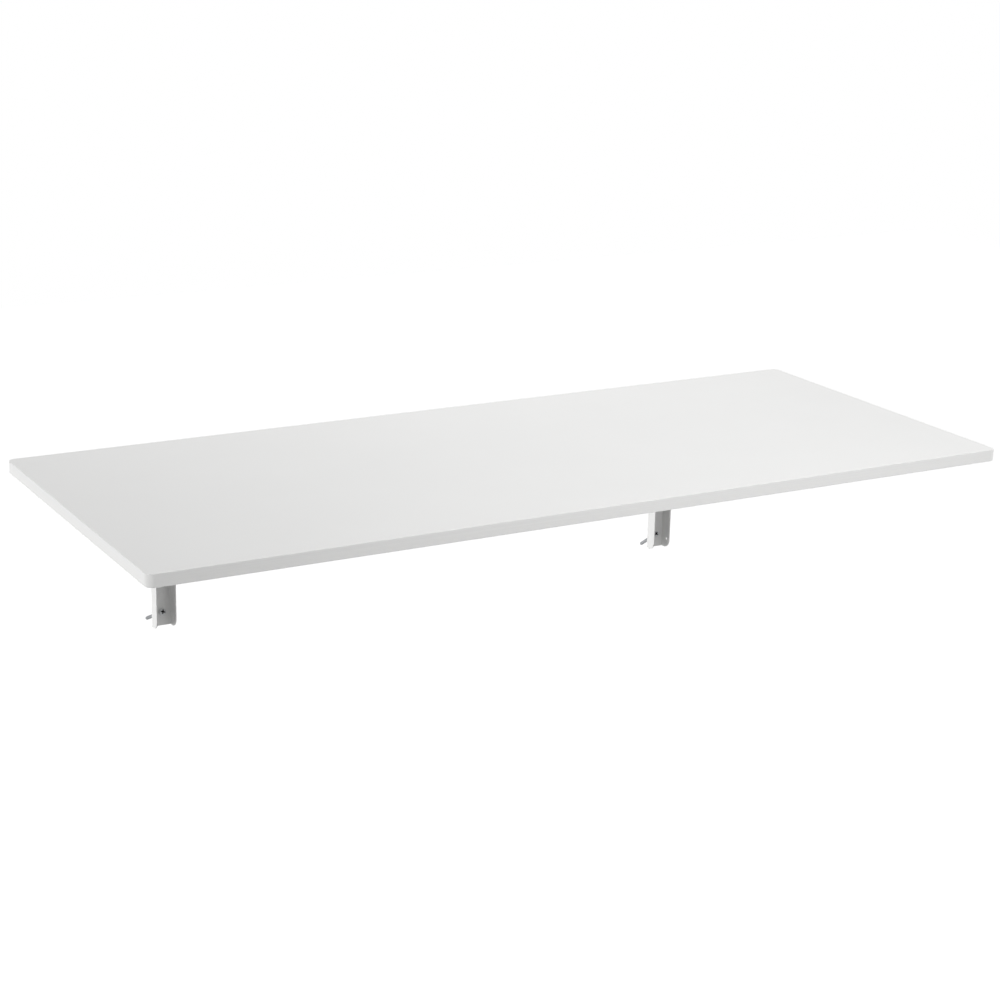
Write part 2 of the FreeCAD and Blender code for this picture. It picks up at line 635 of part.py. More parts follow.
def make_spring_stud(label, x):
    """Stud on the arm that carries the eye of the leaf spring."""
    inside = "-arm_inner / 2"
    over = "-(lever_side + spring_width + rivet_play)"
    end = "-(lever_side + spring_width + rivet_play + stud_head_height)"
    body = new_body(label)
    turn(body, [(inside, "0"), (inside, "stud_shank_radius"), ("-arm_side", "stud_shank_radius"),
                ("-arm_side", "stud_radius"), (over, "stud_radius"), (over, "stud_head_radius"),
                (end, "stud_head_radius"), (end, "0")])
    place(body, x, "-(pivot_setback + stud_station)", "pivot_height + stud_height")
    keep(body, label)


def make_lever_spring(label, x):
    """Leaf spring: an eye round the stud and a leaf that lies on the lever's nose."""
    bore = size("stud_radius + pin_fit")
    eye = bore + size("spring_sheet")
    width = ALONG_WALL * size("spring_width")
    touch = Vector(0, size("lever_lead + stud_lead - spring_touch"),
                   size("lever_height + nose_top + spring_gap - stud_height"))
    lift = math.atan2(-touch.z, touch.y) + math.asin(bore / touch.Length)
    along = Vector(0, -math.cos(lift), math.sin(lift))
    across = ALONG_WALL.cross(along) * -1
    root = touch + along * (touch.Length * math.cos(math.asin(bore / touch.Length)))
    leaf = [touch, root, root + across * size("spring_sheet"), touch + across * size("spring_sheet"), touch]
    leaf = Part.Face(Part.makePolygon(leaf)).extrude(width)
    ring = Part.makeCylinder(eye, size("spring_width"), Vector(), ALONG_WALL)
    hole = Part.makeCylinder(bore, size("spring_width"), Vector(), ALONG_WALL)
    spring = doc.addObject("Part::Feature", label)
    spring.Shape = leaf.fuse(ring).cut(hole).removeSplitter()
    place(spring, f"{x} - (lever_side + spring_width)", "-(pivot_setback + stud_station)",
          "pivot_height + stud_height")
    keep(spring, label)


def make_bracket(side, x):
    """One folding bracket: leg on the wall, arm under the leaf, brace, guide, lever and fasteners."""
    make_wall_leg(side + "_wall_leg", x)
    make_arm(side + "_arm", x)
    make_brace(side + "_brace", x)
    make_headed_pin(side + "_corner_pin", x, "pivot_height", "arm_side + pin_head_play", "pin_head_height")
    make_headed_pin(side + "_brace_pin", x, "brace_height", "leg_width / 2", "pivot_gap - flush_head_play")
    make_ring_pair(side + "_corner_washers", x, "-pivot_setback", "pivot_height",
                   "leg_width / 2", "arm_inner / 2", "washer_radius")
    make_ring_pair(side + "_brace_washers", x, "-pivot_setback", "brace_height",
                   "brace_width / 2", "leg_inner / 2", "washer_radius")
    make_guide(side, x)
    make_arm_screws(side + "_arm_screws", x)
    make_wall_screw(side + "_wall_screw", x, side + "_droop", side + "_sway")
    make_lever(side + "_release_lever", x)
    make_lever_rivet(side + "_lever_rivet", x)
    make_spring_stud(side + "_spring_stud", x)
    make_lever_spring(side + "_lever_spring", x)


def check_document():
    """Stop if anything failed to compute or a sub-part's shape is unusable."""
    doc.recompute()
    for thing in doc.Objects:
        if "Invalid" in thing.State or "Error" in thing.State:
            raise RuntimeError(f"{thing.Label} failed: {thing.State}")
    for thing in nodes:
        if thing.Shape.isNull() or not thing.Shape.isValid() or not thing.Shape.Solids:
            raise RuntimeError(f"{thing.Label} has no valid solid")


fill_sheet()
make_tabletop()
make_bracket("left", "-bracket_offset")
make_bracket("right", "bracket_offset")
check_document()
os.makedirs("parts", exist_ok=True)
for node in nodes:
    node.Shape.exportStep(f"parts/{node.Label}.step")
print(len(nodes), "sub-parts written")
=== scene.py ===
"""Looks of a wall mounted drop leaf table: finishes, hanging screws, leaf springs and a white studio."""

import math

import bmesh
import bpy
from mathutils import Matrix, Vector


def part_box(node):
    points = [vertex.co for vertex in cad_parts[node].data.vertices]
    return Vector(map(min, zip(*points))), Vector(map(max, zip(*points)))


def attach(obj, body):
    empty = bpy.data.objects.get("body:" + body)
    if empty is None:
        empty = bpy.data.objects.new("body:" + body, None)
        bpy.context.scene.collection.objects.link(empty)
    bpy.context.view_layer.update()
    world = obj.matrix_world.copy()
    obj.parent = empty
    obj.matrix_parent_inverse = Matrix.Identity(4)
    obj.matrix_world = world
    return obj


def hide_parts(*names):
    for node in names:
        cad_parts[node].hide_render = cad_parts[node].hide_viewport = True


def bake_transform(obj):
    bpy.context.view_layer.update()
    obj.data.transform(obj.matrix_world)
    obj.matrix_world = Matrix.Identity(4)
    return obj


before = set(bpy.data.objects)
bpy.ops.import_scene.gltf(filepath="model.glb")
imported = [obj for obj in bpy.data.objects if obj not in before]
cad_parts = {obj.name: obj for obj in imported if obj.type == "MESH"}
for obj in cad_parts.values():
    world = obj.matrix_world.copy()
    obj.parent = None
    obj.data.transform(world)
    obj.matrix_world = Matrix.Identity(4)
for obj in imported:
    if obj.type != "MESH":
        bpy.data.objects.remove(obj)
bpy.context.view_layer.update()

bl_info = {
    "name": "Drop leaf table",
    "version": (1, 0, 0),
    "blender": (4, 5, 0),
    "location": "3D View > Sidebar > Table",
    "description": "Finishes, hanging screws, leaf springs and studio for a wall mounted drop leaf table",
    "category": "Object",
}

MM = 0.001
SIDES = ("left", "right")

# Sockets of the colour mixing node, which carry the same names as its number sockets
MIX_FIRST = 6
MIX_SECOND = 7
MIX_COLOUR = 2

# Points round a screw, rings in one turn of its thread, and half of the ridge as a share of the pitch
SCREW_COLUMNS = 40
THREAD_RINGS = 12
RIDGE_HALF = 0.24

# Rings on a screw head's dome, as shares of its radius, and steps round its rounded rim
DOME_SHARES = (0.35, 0.7, 1)
RIM_STEPS = 6

# Width and length of a cross recess at its bottom, as a share of those at its top
RECESS_BOTTOM = 0.45

# Points of a screw's solid whose distance from its tip is the greatest, within this, are its head's rim
RIM_TOLERANCE = 0.05 * MM

# Steps round a leaf spring's eye and along its leaf
EYE_STEPS = 40
LEAF_STEPS = 30

# Faces that meet at more than this angle keep a sharp edge
SHARP_ANGLE = math.radians(40)

# The soft light grows from the first to the second height on a unit sphere round the table
FILL_LOW = -0.2
FILL_HIGH = 0.6


def linear(hex_code):
    """Turn an sRGB hex value into linear red, green and blue."""
    channels = [int(hex_code[start:start + 2], 16) / 255 for start in (1, 3, 5)]
    return [c / 12.92 if c <= 0.04045 else ((c + 0.055) / 1.055) ** 2.4 for c in channels]


def colour(name, description, hex_code):
    """A colour that a user may change."""
    return bpy.props.FloatVectorProperty(name=name, description=description, subtype="COLOR", size=3,
                                         min=0, max=1, default=linear(hex_code))


def length(name, description, millimetres):
    """A length that a user may change."""
    return bpy.props.FloatProperty(name=name, description=description, unit="LENGTH", precision=5,
                                   min=0, default=millimetres * MM)


def angle(name, description, degrees):
    """An angle that a user may change."""
    return bpy.props.FloatProperty(name=name, description=description, subtype="ANGLE",
                                   default=math.radians(degrees))


def amount(name, description, value):
    """A plain number that a user may change."""
    return bpy.props.FloatProperty(name=name, description=description, min=0, default=value)


class TableFinishes(bpy.types.PropertyGroup):
    """Colours of the table's materials."""
    laminate: colour("Laminate", "White of the board's pressed faces", "#F2F2F1")
    laminate_shade: colour("Laminate shade", "Slightly deeper white in the laminate's clouds", "#EFEFEE")
    band: colour("Edge band", "White of the extruded edge band", "#F1F1F0")
    band_line: colour("Edge band line", "Fine lines along the edge band", "#EBEBEA")
    chip_light: colour("Light chips", "Light wood chips in the board's core", "#D9BE93")
    chip_dark: colour("Dark chips", "Dark wood chips in the board's core", "#A98558")
    coat: colour("Powder coat", "White of the coated brackets", "#F3F3F2")
    coat_shade: colour("Powder coat shade", "Deeper white where the coat is thinner", "#EDEDEC")
    zinc: colour("Zinc", "Zinc plating of pins and screws", "#D3D6D8")
    zinc_tint: colour("Zinc tint", "Tint of the sealed zinc", "#BFC4CA")
    dull_zinc: colour("Dull zinc", "Chalky zinc of the hanging wall screws' heads", "#E4E5E6")
    dull_zinc_shade: colour("Dull zinc shade", "Greyer patches of the chalky zinc", "#D0D2D4")
    # Painted shade: the two thread colours below draw the threads darker than the heads
    thread_shade_grey: colour("Waxed steel", "Rolled threads of the hanging wall screws", "#BEC0C2")
    thread_shade_deep: colour("Wax", "Thicker wax in patches on the threads", "#8E9093")
    # Painted shade: the two recess colours below draw the cross recesses nearly black
    recess_shade_dark: colour("Recess steel", "Oiled steel in the cross recesses", "#161617")
    recess_shade_brown: colour("Recess film", "Oil film in the cross recesses", "#2A2724")
    nylon: colour("Nylon", "Washers and rollers", "#E9E6DC")
    nylon_shade: colour("Nylon shade", "Flow lines in the moulded nylon", "#DFDBCE")
    spring: colour("Spring steel", "Leaf springs", "#8E9094")
    spring_tint: colour("Temper tint", "Straw tint left by tempering", "#9A8B70")


class WallScrewSizes(bpy.types.PropertyGroup):
    """Sizes of the two wall screws that hang in the legs' lowest holes."""
    shank: length("Shank", "Screw under its head", 60)
    neck: length("Neck", "Plain shank under the head", 8)
    neck_radius: length("Neck radius", "Radius of the plain shank", 2.3)
    pitch: length("Thread pitch", "From one turn of the thread to the next", 2.2)
    root_radius: length("Thread root", "Radius between the turns of the thread", 2.05)
    crest_radius: length("Thread crest", "Radius over the thread", 2.6)
    tip: length("Tip", "Length of the rounded point", 5)
    head_radius: length("Head radius", "Radius of the pan head", 5)
    head_height: length("Head height", "Height of the pan head", 2.6)
    head_dome: length("Head dome", "Rise of the head's top from its rim to its middle", 0.4)
    head_rounding: length("Head rounding", "Rounded rim of the head", 1.5)
    recess_reach: length("Recess reach", "Cross recess from the middle to the end of an arm", 3.4)
    recess_width: length("Recess width", "Width of the recess's arms at the top", 1.8)
    recess_depth: length("Recess depth", "Depth of the recess in the middle", 2.4)
    left_turn: angle("Left cross", "Turn of the left screw's cross recess", 18)
    right_turn: angle("Right cross", "Turn of the right screw's cross recess", 45)


class LeafSpringSizes(bpy.types.PropertyGroup):
    """Sizes of the leaf springs that press the release levers down."""
    sheet: length("Sheet", "Thickness of the spring steel", 0.6)
    bow: length("Bow", "Rise of the leaf's middle above a straight line", 0.8)
    edge: length("Edge", "Broken edge of the strip", 0.12)
    wrap: angle("Wrap", "How far the rolled eye goes round its stud", 335)


class Studio(bpy.types.PropertyGroup):
    """Camera, floor and lights."""
    lens: bpy.props.FloatProperty(name="Lens", description="Focal length", unit="CAMERA", default=79.206)
    camera_place: bpy.props.FloatVectorProperty(name="Camera", description="Place of the camera", size=3,
                                                subtype="TRANSLATION",
                                                default=(-1.381587, -2.645264, 0.922814))
    yaw: angle("Yaw", "Camera turned towards the table's right end", 29.663)
    pitch: angle("Pitch", "Camera tilted down", 17.021)
    roll: angle("Roll", "Camera turned about its own axis", 1.335)
    floor_drop: length("Floor drop", "Floor below the middle of the wall holes", 1000)
    floor_half: length("Floor half", "Half of the floor's width", 6000)
    floor_white: colour("Floor", "Pale floor", "#DADADA")
    floor_glow: amount("Floor glow", "White that the camera sees in the floor beside its lit colour", 0.76)
    fill_above: amount("Fill from above", "Soft light from the ceiling", 0.32)
    fill_below: amount("Fill from below", "Soft light from the lower walls", 0.03)
    side_light: amount("Side light", "Soft light from the left", 2.06)
    end_light: amount("End light", "Weaker light from the right, on the table's far end", 0.9)
    front_light: amount("Front light", "Soft box in front of the right half, in watts", 12.7)
    low_light: amount("Low light", "Soft box in front of the right half and lower, in watts", 3)
    right_light: amount("Right light", "Round soft box over the right end, in watts", 6.3)
    back_light: amount("Back light", "Round soft box over the back edge, in watts", 8.5)


def node(tree, kind, inputs=None, **settings):
    """Add a shader node; an input is a value to set or another node's socket to link."""
    made = tree.nodes.new("ShaderNode" + kind)
    for name, value in settings.items():
        setattr(made, name, value)
    for name, value in (inputs or {}).items():
        if isinstance(value, bpy.types.NodeSocket):
            tree.links.new(value, made.inputs[name])
        else:
            made.inputs[name].default_value = value
    return made


def new_material(name, constants):
    """Start a material with its surface's own numbers. Returns it, its tree and its surface."""
    material = bpy.data.materials.new(name)
    material.use_nodes = True
    tree = material.node_tree
    surface = tree.nodes["Principled BSDF"]
    for socket, value in constants.items():
        surface.inputs[socket].default_value = value
    return material, tree, surface


def rgba(values):
    """A colour with full opacity."""
    return (*values, 1)


def dress(names, material):
    """Give CAD nodes their finish."""
    for name in names:
        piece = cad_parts[name]
        piece.data.materials.clear()
        piece.data.materials.append(material)


def both(*names):
    """The names of like nodes on the left and the right bracket."""
    return [f"{side}_{name}" for side in SIDES for name in names]


def satin_pressed_melamine(finish):
    """Melamine paper pressed on chipboard with a satin plate.

    The eye sees an even white, a soft sheen that widens at low angles, and shallow pores.
    """
    material, tree, surface = new_material("satin_pressed_melamine", {"IOR": 1.5})
    place = node(tree, "TexCoord").outputs["Object"]
    # The pressed paper clouds very faintly over some 120 mm
    clouds = node(tree, "TexNoise", {"Vector": place, "Scale": 1 / (120 * MM), "Detail": 3})
    tone = node(tree, "Mix", {0: clouds.outputs[0], MIX_FIRST: rgba(finish.laminate),
                              MIX_SECOND: rgba(finish.laminate_shade)}, data_type="RGBA")
    tree.links.new(tone.outputs[MIX_COLOUR], surface.inputs["Base Color"])
    # Real pores are about 0.2 mm wide, drawn at 1.6 mm so that they show
    pores = node(tree, "TexNoise", {"Vector": place, "Scale": 1 / (1.6 * MM), "Detail": 2})
    sheen = node(tree, "MapRange", {"Value": pores.outputs[0], "To Min": 0.36, "To Max": 0.46})
    tree.links.new(sheen.outputs[0], surface.inputs["Roughness"])
    relief = node(tree, "Bump", {"Height": pores.outputs[0], "Strength": 0.06, "Distance": 0.05 * MM})
    tree.links.new(relief.outputs[0], surface.inputs["Normal"])
    return material


def extruded_abs_band(finish):
    """ABS edge band, extruded and flush trimmed.

    The eye sees a white a shade glossier than the faces, with fine lengthwise lines.
    """
    material, tree, surface = new_material("extruded_abs_edge_band", {"IOR": 1.53})
    place = node(tree, "TexCoord").outputs["Object"]
    # Lines from the extrusion die are about 0.3 mm apart, drawn at 1.5 mm; they run 300 mm before they fade
    run = 1 / (300 * MM)
    drawn = node(tree, "Mapping", {"Vector": place, "Scale": (run, run, 1 / (1.5 * MM))})
    lines = node(tree, "TexNoise", {"Vector": drawn.outputs[0], "Scale": 1, "Detail": 2})
    tone = node(tree, "Mix", {0: lines.outputs[0], MIX_FIRST: rgba(finish.band),
                              MIX_SECOND: rgba(finish.band_line)}, data_type="RGBA")
    tree.links.new(tone.outputs[MIX_COLOUR], surface.inputs["Base Color"])
    sheen = node(tree, "MapRange", {"Value": lines.outputs[0], "To Min": 0.28, "To Max": 0.38})
    tree.links.new(sheen.outputs[0], surface.inputs["Roughness"])
    relief = node(tree, "Bump", {"Height": lines.outputs[0], "Strength": 0.08, "Distance": 0.05 * MM})
    tree.links.new(relief.outputs[0], surface.inputs["Normal"])
    return material


def pressed_chipboard(finish):
    """Chipboard, pressed from wood chips and glue.

    The eye sees flat tan and brown flakes, quite matt, with fine gaps between them.
    """
    material, tree, surface = new_material("pressed_chipboard", {})
    place = node(tree, "TexCoord").outputs["Object"]
    # Chips are about 4 mm long and lie flat, about 1 mm thick
    flake = 1 / (4 * MM)
    flat = node(tree, "Mapping", {"Vector": place, "Scale": (flake, flake, 1 / (1 * MM))})
    chips = node(tree, "TexVoronoi", {"Vector": flat.outputs[0], "Scale": 1})
    pick = node(tree, "SeparateColor", {"Color": chips.outputs["Color"]})
    tone = node(tree, "Mix", {0: pick.outputs[0], MIX_FIRST: rgba(finish.chip_light),
                              MIX_SECOND: rgba(finish.chip_dark)}, data_type="RGBA")
    tree.links.new(tone.outputs[MIX_COLOUR], surface.inputs["Base Color"])
    matt = node(tree, "MapRange", {"Value": pick.outputs[1], "To Min": 0.75, "To Max": 0.95})
    tree.links.new(matt.outputs[0], surface.inputs["Roughness"])
    relief = node(tree, "Bump", {"Height": chips.outputs["Distance"], "Strength": 0.4,
                                 "Distance": 0.3 * MM}, invert=True)
    tree.links.new(relief.outputs[0], surface.inputs["Normal"])
    return material


def powder_coated_steel(finish):
    """Sheet steel with baked white powder coat.

    The eye sees a satin white with a faint orange peel, and cut edges that the film rounds.
    """
    material, tree, surface = new_material("powder_coated_sheet_steel", {"IOR": 1.5})
    place = node(tree, "TexCoord").outputs["Object"]
    # Orange peel waves are about 2 mm apart, and the film's thickness drifts over some 25 mm
    peel = node(tree, "TexNoise", {"Vector": place, "Scale": 1 / (2 * MM), "Detail": 1})
    film = node(tree, "TexNoise", {"Vector": place, "Scale": 1 / (25 * MM), "Detail": 2})
    tone = node(tree, "Mix", {0: film.outputs[0], MIX_FIRST: rgba(finish.coat),
                              MIX_SECOND: rgba(finish.coat_shade)}, data_type="RGBA")
    tree.links.new(tone.outputs[MIX_COLOUR], surface.inputs["Base Color"])
    sheen = node(tree, "MapRange", {"Value": film.outputs[0], "To Min": 0.3, "To Max": 0.42})
    tree.links.new(sheen.outputs[0], surface.inputs["Roughness"])
    # The film rounds every cut edge over about half of the sheet
    rounded = node(tree, "Bevel", {"Radius": 0.75 * MM}, samples=8)
    relief = node(tree, "Bump", {"Height": peel.outputs[0], "Strength": 0.12, "Distance": 0.1 * MM,
                                 "Normal": rounded.outputs[0]})
    tree.links.new(relief.outputs[0], surface.inputs["Normal"])
    return material


def zinc_plated_steel(finish):
    """Turned or rolled steel with bright zinc plating.

    The eye sees a pale, cool metal with an uneven tint and fine scratches.
    """
    material, tree, surface = new_material("zinc_plated_steel", {"Metallic": 1.0})
    place = node(tree, "TexCoord").outputs["Object"]
    # The sealed zinc clouds over some 3 mm, and handling leaves scratches about 0.3 mm apart
    clouds = node(tree, "TexNoise", {"Vector": place, "Scale": 1 / (3 * MM), "Detail": 3})
    tone = node(tree, "Mix", {0: clouds.outputs[0], MIX_FIRST: rgba(finish.zinc),
                              MIX_SECOND: rgba(finish.zinc_tint)}, data_type="RGBA")
    tree.links.new(tone.outputs[MIX_COLOUR], surface.inputs["Base Color"])
    marks = node(tree, "TexNoise", {"Vector": place, "Scale": 1 / (0.3 * MM), "Detail": 2})
    sheen = node(tree, "MapRange", {"Value": marks.outputs[0], "To Min": 0.22, "To Max": 0.4})
    tree.links.new(sheen.outputs[0], surface.inputs["Roughness"])
    relief = node(tree, "Bump", {"Height": marks.outputs[0], "Strength": 0.1, "Distance": 0.03 * MM})
    tree.links.new(relief.outputs[0], surface.inputs["Normal"])
    return material


def dull_zinc_plated_steel(finish):
    """Rolled screw steel with thin, unsealed zinc plating.

    The eye sees a chalky grey metal: light where it faces the light, dark below, with greyer patches.
    """
    material, tree, surface = new_material("dull_zinc_plated_steel", {"Metallic": 0.12})
    place = node(tree, "TexCoord").outputs["Object"]
    # Chalky patches are about 2 mm across; rolling marks lie about 0.3 mm apart
    patches = node(tree, "TexNoise", {"Vector": place, "Scale": 1 / (2 * MM), "Detail": 3})
    tone = node(tree, "Mix", {0: patches.outputs[0], MIX_FIRST: rgba(finish.dull_zinc),
                              MIX_SECOND: rgba(finish.dull_zinc_shade)}, data_type="RGBA")
    tree.links.new(tone.outputs[MIX_COLOUR], surface.inputs["Base Color"])
    marks = node(tree, "TexNoise", {"Vector": place, "Scale": 1 / (0.3 * MM), "Detail": 2})
    sheen = node(tree, "MapRange", {"Value": marks.outputs[0], "To Min": 0.35, "To Max": 0.55})
    tree.links.new(sheen.outputs[0], surface.inputs["Roughness"])
    relief = node(tree, "Bump", {"Height": marks.outputs[0], "Strength": 0.1, "Distance": 0.03 * MM})
    tree.links.new(relief.outputs[0], surface.inputs["Normal"])
    return material


def shaded_thread_steel(finish):
    """Rolled screw thread, drawn a darker grey than the head's zinc: painted shade.

    The eye sees a dull grey with a soft, broken shine and darker patches at random, all in the painted
    shade.
    """
    material, tree, surface = new_material("shaded_thread_steel", {"Metallic": 0.12})
    place = node(tree, "TexCoord").outputs["Object"]
    # Painted shade: the thread's darker grey is patchy over about 1.5 mm
    patches = node(tree, "TexNoise", {"Vector": place, "Scale": 1 / (1.5 * MM), "Detail": 3})
    tone = node(tree, "Mix", {0: patches.outputs[0], MIX_FIRST: rgba(finish.thread_shade_grey),
                              MIX_SECOND: rgba(finish.thread_shade_deep)}, data_type="RGBA")
    tree.links.new(tone.outputs[MIX_COLOUR], surface.inputs["Base Color"])
    sheen = node(tree, "MapRange", {"Value": patches.outputs[0], "To Min": 0.3, "To Max": 0.5})
    tree.links.new(sheen.outputs[0], surface.inputs["Roughness"])
    relief = node(tree, "Bump", {"Height": patches.outputs[0], "Strength": 0.15, "Distance": 0.05 * MM})
    tree.links.new(relief.outputs[0], surface.inputs["Normal"])
    return material


def painted_shade_recess(finish):
    """Steel of a screw's cross recess, drawn nearly black: painted shade.

    The eye sees a nearly black metal with brownish patches, which are painted shade.
    """
    material, tree, surface = new_material("painted_shade_recess", {"Metallic": 1.0})
    place = node(tree, "TexCoord").outputs["Object"]
    # Painted shade: the recess is nearly black, patchy over about 0.8 mm
    shade_blotches = node(tree, "TexNoise", {"Vector": place, "Scale": 1 / (0.8 * MM), "Detail": 2})
    tone = node(tree, "Mix", {0: shade_blotches.outputs[0], MIX_FIRST: rgba(finish.recess_shade_dark),
                              MIX_SECOND: rgba(finish.recess_shade_brown)}, data_type="RGBA")
    tree.links.new(tone.outputs[MIX_COLOUR], surface.inputs["Base Color"])
    gloss = node(tree, "MapRange", {"Value": shade_blotches.outputs[0], "To Min": 0.5, "To Max": 0.3})
    tree.links.new(gloss.outputs[0], surface.inputs["Roughness"])
    return material


def moulded_nylon(finish):
    """Injection moulded natural nylon.

    The eye sees a milky white that light enters a little, with faint flow lines.
    """
    material, tree, surface = new_material("moulded_natural_nylon", {"IOR": 1.53, "Subsurface Weight": 0.15,
                                                                     "Subsurface Scale": 1 * MM})
    place = node(tree, "TexCoord").outputs["Object"]
    # Flow lines of the moulding are about 1 mm apart
    flow = node(tree, "TexNoise", {"Vector": place, "Scale": 1 / (1 * MM), "Detail": 2, "Distortion": 1})
    tone = node(tree, "Mix", {0: flow.outputs[0], MIX_FIRST: rgba(finish.nylon),
                              MIX_SECOND: rgba(finish.nylon_shade)}, data_type="RGBA")
    tree.links.new(tone.outputs[MIX_COLOUR], surface.inputs["Base Color"])
    sheen = node(tree, "MapRange", {"Value": flow.outputs[0], "To Min": 0.4, "To Max": 0.55})
    tree.links.new(sheen.outputs[0], surface.inputs["Roughness"])
    relief = node(tree, "Bump", {"Height": flow.outputs[0], "Strength": 0.1, "Distance": 0.05 * MM})
    tree.links.new(relief.outputs[0], surface.inputs["Normal"])
    return material


def tempered_spring_steel(finish):
    """Rolled spring steel, tempered.

    The eye sees a darker metal with straw tinted patches and rolling marks.
    """
    material, tree, surface = new_material("tempered_spring_steel", {"Metallic": 1.0})
    place = node(tree, "TexCoord").outputs["Object"]
    # Temper colours drift over some 8 mm; rolling marks lie about 0.2 mm apart and run some 10 mm
    drift = node(tree, "TexNoise", {"Vector": place, "Scale": 1 / (8 * MM), "Detail": 2})
    tone = node(tree, "Mix", {0: drift.outputs[0], MIX_FIRST: rgba(finish.spring),
                              MIX_SECOND: rgba(finish.spring_tint)}, data_type="RGBA")
    tree.links.new(tone.outputs[MIX_COLOUR], surface.inputs["Base Color"])
    run = 1 / (10 * MM)
    along = node(tree, "Mapping", {"Vector": place, "Scale": (1 / (0.2 * MM), run, run)})
    marks = node(tree, "TexNoise", {"Vector": along.outputs[0], "Scale": 1, "Detail": 2})
    sheen = node(tree, "MapRange", {"Value": marks.outputs[0], "To Min": 0.25, "To Max": 0.45})
    tree.links.new(sheen.outputs[0], surface.inputs["Roughness"])
    relief = node(tree, "Bump", {"Height": marks.outputs[0], "Strength": 0.1, "Distance": 0.02 * MM})
    tree.links.new(relief.outputs[0], surface.inputs["Normal"])
    return material


def screw_line(name):
    """Tip and direction of a screw, from its solid.

    The rim of its head lies farthest from the tip, and evenly round the middle line.
    """
    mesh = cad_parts[name].data
    # Points less than a thousandth of a millimetre apart count as one
    corners = {tuple(round(value, 6) for value in corner.co) for corner in mesh.vertices}
    points = [Vector(corner) for corner in sorted(corners)]
    tip = max(points, key=lambda point: point.y)
    reach = max((point - tip).length for point in points)
    rim = [point for point in points if reach - (point - tip).length < RIM_TOLERANCE]
    middle = sum(rim, Vector()) / len(rim)
    return tip, (tip - middle).normalized()


def head_outline(sizes):
    """Pan head from the middle of its top to its seat, as heights above the seat and radii."""
    inner = sizes.head_radius - sizes.head_rounding
    shoulder = sizes.head_height - sizes.head_dome
    dome = [(sizes.head_height - sizes.head_dome * share ** 2, inner * share) for share in DOME_SHARES]
    rim = []
    for step in range(1, RIM_STEPS + 1):
        turn = math.pi / 2 * step / RIM_STEPS
        rim.append((shoulder - sizes.head_rounding * (1 - math.cos(turn)),
                    inner + sizes.head_rounding * math.sin(turn)))
    return dome + rim + [(0, sizes.head_radius), (0, sizes.neck_radius)]


def screw_rows(sizes):
    """Rings of points from the head to the tip; the thread is a ridge that winds round the shank."""
    turns = [2 * math.pi * column / SCREW_COLUMNS for column in range(SCREW_COLUMNS)]
    rows = [[(radius, turn, -height) for turn in turns] for height, radius in head_outline(sizes)]
    step = sizes.pitch / THREAD_RINGS
    for index in range(int((sizes.shank - sizes.neck) / step)):
        along = sizes.neck + step * index
        to_tip = (sizes.shank - along) / sizes.tip
        narrowing = math.sqrt(1 - (1 - to_tip) ** 2) if to_tip < 1 else 1
        start = min(1, step * index / sizes.pitch)
        root = sizes.neck_radius + (sizes.root_radius - sizes.neck_radius) * start
        row = []
        for turn in turns:
            phase = (along / sizes.pitch - turn / (2 * math.pi)) % 1
            ridge = max(0, 1 - abs(phase - 0.5) / RIDGE_HALF)
            radius = root + (sizes.crest_radius - root) * ridge * start
            row.append((radius * narrowing, turn, along))
        rows.append(row)
    return [[Vector((r * math.cos(turn), r * math.sin(turn), along)) for r, turn, along in row]
            for row in rows]


def closed_mesh(name, rows, first, last):
    """Mesh of rings joined in order, with a point at each end."""
    form = bmesh.new()
    rings = [[form.verts.new(point) for point in row] for row in rows]
    columns = len(rows[0])
    ends = [form.verts.new(first), form.verts.new(last)]
    for column in range(columns):
        following = (column + 1) % columns
        form.faces.new((ends[0], rings[0][column], rings[0][following]))
        form.faces.new((ends[1], rings[-1][following], rings[-1][column]))
        for ring, other in zip(rings, rings[1:]):
            form.faces.new((ring[column], other[column], other[following], ring[following]))
    bmesh.ops.recalc_face_normals(form, faces=form.faces)
    mesh = bpy.data.meshes.new(name)
    form.to_mesh(mesh)
    form.free()
    return mesh


def recess_blade(sizes, turn, material):
    """One of the two crossed blades that leave the recess.

    It keeps its width and length down to the top of the head, and narrows and shortens below.
    """
    form = bmesh.new()
    above = -sizes.head_height - sizes.recess_depth
    below = sizes.recess_depth - sizes.head_height
    for along, share in ((above, 1), (-sizes.head_height, 1), (below, RECESS_BOTTOM)):
        reach = sizes.recess_reach * share
        half = sizes.recess_width / 2 * share
        for across, aside in ((reach, half), (reach, -half), (-reach, half), (-reach, -half)):
            form.verts.new((across, aside, along))
    bmesh.ops.convex_hull(form, input=form.verts)
    form.transform(Matrix.Rotation(turn, 4, "Z"))
    mesh = bpy.data.meshes.new("recess_blade")
    form.to_mesh(mesh)
    form.free()
    mesh.materials.append(material)
    return bpy.data.objects.new("recess_blade", mesh)


def carve(piece, tools):
    """Cut tools out of a piece and remove them; the cut faces take the tools' material."""
    for tool in tools:
        bpy.context.scene.collection.objects.link(tool)
        cut = piece.modifiers.new("cut", "BOOLEAN")
        cut.operation = "DIFFERENCE"
        cut.solver = "EXACT"
        cut.material_mode = "TRANSFER"
        cut.object = tool
    shaped = piece.evaluated_get(bpy.context.evaluated_depsgraph_get())
    solid = bpy.data.meshes.new_from_object(shaped)
    piece.modifiers.clear()
    piece.data = solid
    for tool in tools:
        bpy.data.objects.remove(tool)


